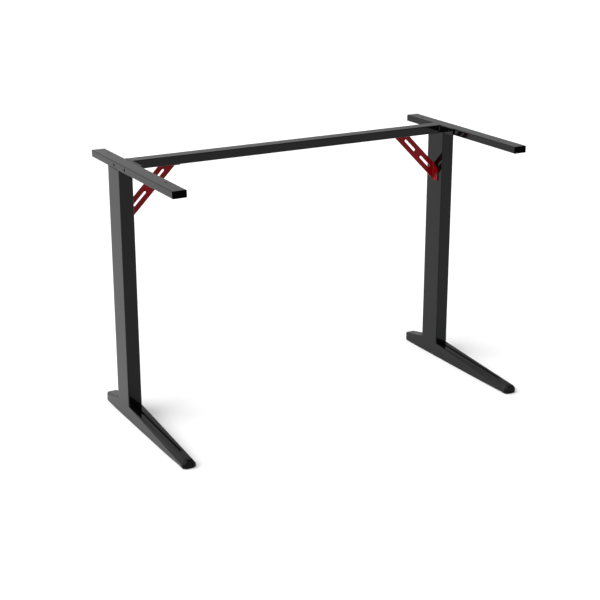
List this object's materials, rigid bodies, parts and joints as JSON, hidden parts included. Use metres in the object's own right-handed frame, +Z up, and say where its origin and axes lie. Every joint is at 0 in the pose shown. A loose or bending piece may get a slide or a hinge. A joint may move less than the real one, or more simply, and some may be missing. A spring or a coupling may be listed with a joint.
{
  "type": "desk frame",
  "caption": "Steel desk frame: two T-shaped legs with long tapered feet, a cross rail, slotted red corner braces and levelling glides, made to carry a separate flat desktop.",
  "frame": {"origin": "floor level under the levelling glides, at the middle of the frame's width and depth", "axes": "+X to the right as the user sits, along the cross rail; +Y to the rear, away from the user; +Z up"},
  "size_m": [1.095, 0.567, 0.75],
  "materials": {
    "black_paint": "smooth semi-gloss black powder coat",
    "red_paint": "smooth semi-gloss red powder coat",
    "black_plastic": "fine-textured moulded black plastic",
    "plain_steel": "bare machined steel",
    "zinc_steel": "bright zinc plating",
    "dark_steel": "black oxide steel"
  },
  "bodies": {
    "frame": {"side_rail_left": "black_paint", "side_rail_right": "black_paint", "column_left": "black_paint", "column_right": "black_paint", "foot_left": "black_paint", "foot_right": "black_paint", "foot_tip_left": "black_plastic", "foot_tip_right": "black_plastic", "cross_rail": "black_paint", "end_plate_left": "black_paint", "end_plate_right": "black_paint", "brace_left": "red_paint", "brace_right": "red_paint", "rail_front_plug_left": "black_plastic", "rail_front_plug_right": "black_plastic", "rail_rear_plug_left": "black_plastic", "rail_rear_plug_right": "black_plastic", "base_plate_left": "plain_steel", "base_plate_right": "plain_steel", "foot_screws_left": "zinc_steel", "foot_screws_right": "zinc_steel", "foot_washers_left": "zinc_steel", "foot_washers_right": "zinc_steel", "rail_screws_left": "dark_steel", "rail_screws_right": "dark_steel", "brace_screws_left": "dark_steel", "brace_screws_right": "dark_steel", "rivet_nuts_left": "zinc_steel", "rivet_nuts_right": "zinc_steel", "glide_socket_front_left": "plain_steel", "glide_socket_front_right": "plain_steel", "glide_socket_rear_left": "plain_steel", "glide_socket_rear_right": "plain_steel"},
    "glide_front_left": {"glide_pad_front_left": "black_plastic", "glide_stud_front_left": "zinc_steel"},
    "glide_front_right": {"glide_pad_front_right": "black_plastic", "glide_stud_front_right": "zinc_steel"},
    "glide_rear_left": {"glide_pad_rear_left": "black_plastic", "glide_stud_rear_left": "zinc_steel"},
    "glide_rear_right": {"glide_pad_rear_right": "black_plastic", "glide_stud_rear_right": "zinc_steel"}
  },
  "joints": [
    {"name": "glide_front_left_screw", "type": "slide", "parent": "frame", "child": "glide_front_left", "axis": [0, 0, -1], "range_m": [0, 0.01]},
    {"name": "glide_front_right_screw", "type": "slide", "parent": "frame", "child": "glide_front_right", "axis": [0, 0, -1], "range_m": [0, 0.01]},
    {"name": "glide_rear_left_screw", "type": "slide", "parent": "frame", "child": "glide_rear_left", "axis": [0, 0, -1], "range_m": [0, 0.01]},
    {"name": "glide_rear_right_screw", "type": "slide", "parent": "frame", "child": "glide_rear_right", "axis": [0, 0, -1], "range_m": [0, 0.01]}
  ]
}
